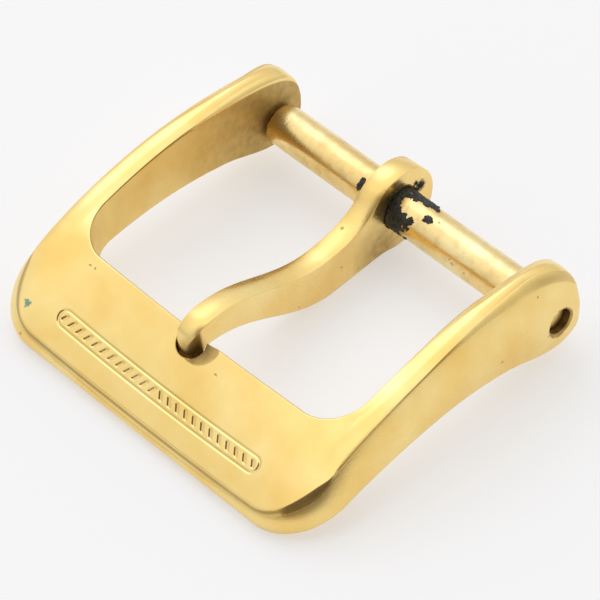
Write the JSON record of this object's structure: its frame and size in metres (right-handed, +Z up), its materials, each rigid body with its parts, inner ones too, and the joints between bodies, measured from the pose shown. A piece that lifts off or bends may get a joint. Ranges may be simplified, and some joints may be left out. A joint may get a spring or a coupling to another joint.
{
  "type": "watch strap buckle",
  "caption": "Pin buckle for a watch strap: an arched cast frame with a scooped notch, a swinging tongue and a sprung bar that presses into holes in the lugs.",
  "frame": {"origin": "the middle of the sprung bar, halfway between the two lugs", "axes": "+X runs along the bar, the front bar of the frame lies at -Y, and +Z is up when the buckle lies on its foot"},
  "size_m": [0.02, 0.0183, 0.0053],
  "materials": {
    "plated_frame": "satin gold plate, worn",
    "plated_tongue": "polished gold plate, worn",
    "plated_tube": "tarnished gold plate",
    "plated_pin": "turned and gold plated, dull",
    "spring_steel": "drawn wire"
  },
  "bodies": {
    "frame": {"frame": "plated_frame"},
    "tongue": {"tongue": "plated_tongue"},
    "spring_bar": {"bar_tube": "plated_tube", "bar_spring": "spring_steel"},
    "plunger_left": {"plunger_left": "plated_pin"},
    "plunger_right": {"plunger_right": "plated_pin"}
  },
  "joints": [
    {"name": "tongue_swing", "type": "hinge", "parent": "frame", "child": "tongue", "pos_m": [0, 0, 0], "axis": [-1, 0, 0], "range_deg": [0, 346]},
    {"name": "bar_spin", "type": "hinge", "parent": "frame", "child": "spring_bar", "pos_m": [0, 0, 0], "axis": [1, 0, 0], "continuous": true},
    {"name": "plunger_left_slide", "type": "slide", "parent": "spring_bar", "child": "plunger_left", "axis": [1, 0, 0], "range_m": [0, 0.0016], "stiffness_N_per_m": 1000, "springref_m": -0.001, "deforming": ["bar_spring"]},
    {"name": "plunger_right_slide", "type": "slide", "parent": "spring_bar", "child": "plunger_right", "axis": [-1, 0, 0], "range_m": [0, 0.0016], "stiffness_N_per_m": 1000, "springref_m": -0.001, "deforming": ["bar_spring"]}
  ]
}
